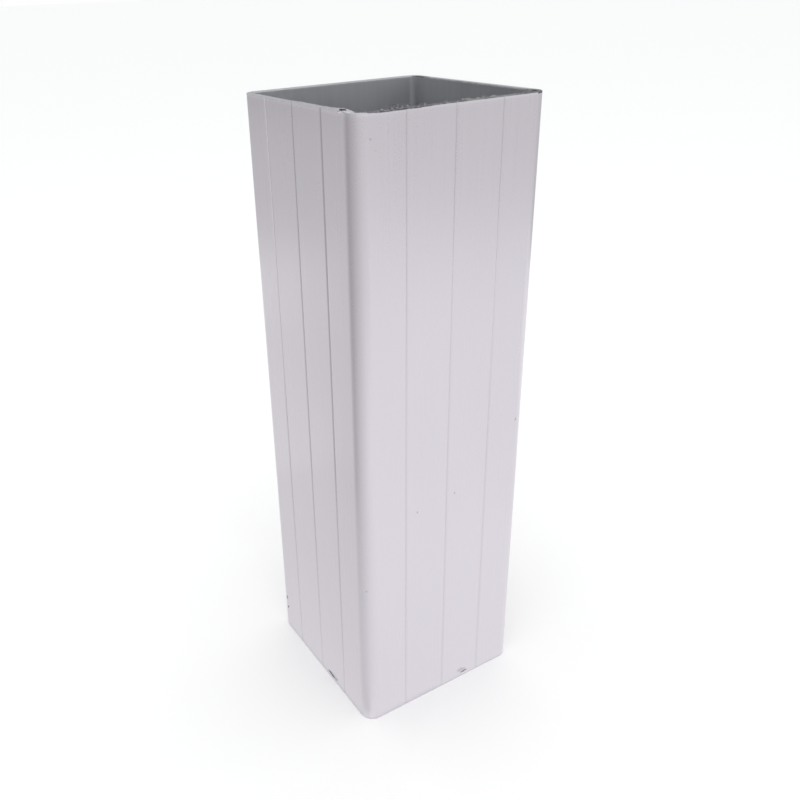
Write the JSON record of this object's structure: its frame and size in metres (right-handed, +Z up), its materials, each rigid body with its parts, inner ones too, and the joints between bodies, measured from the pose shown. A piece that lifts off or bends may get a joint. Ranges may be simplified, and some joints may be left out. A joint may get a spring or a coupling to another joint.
{
  "type": "patio post",
  "caption": "Sawn length of square hollow aluminium patio post, open at both ends, with rounded corners and fine grooves down every face.",
  "frame": {"origin": "middle of the square at the lower saw cut", "axes": "+Z up along the post; -Y out of the near right face and -X out of the near left face, as pictured"},
  "size_m": [0.1, 0.1, 0.32],
  "materials": {
    "metal": "satin silver outside, duller inside, bare bright saw cuts at both ends"
  },
  "bodies": {
    "root": {"post": "metal"}
  },
  "joints": []
}
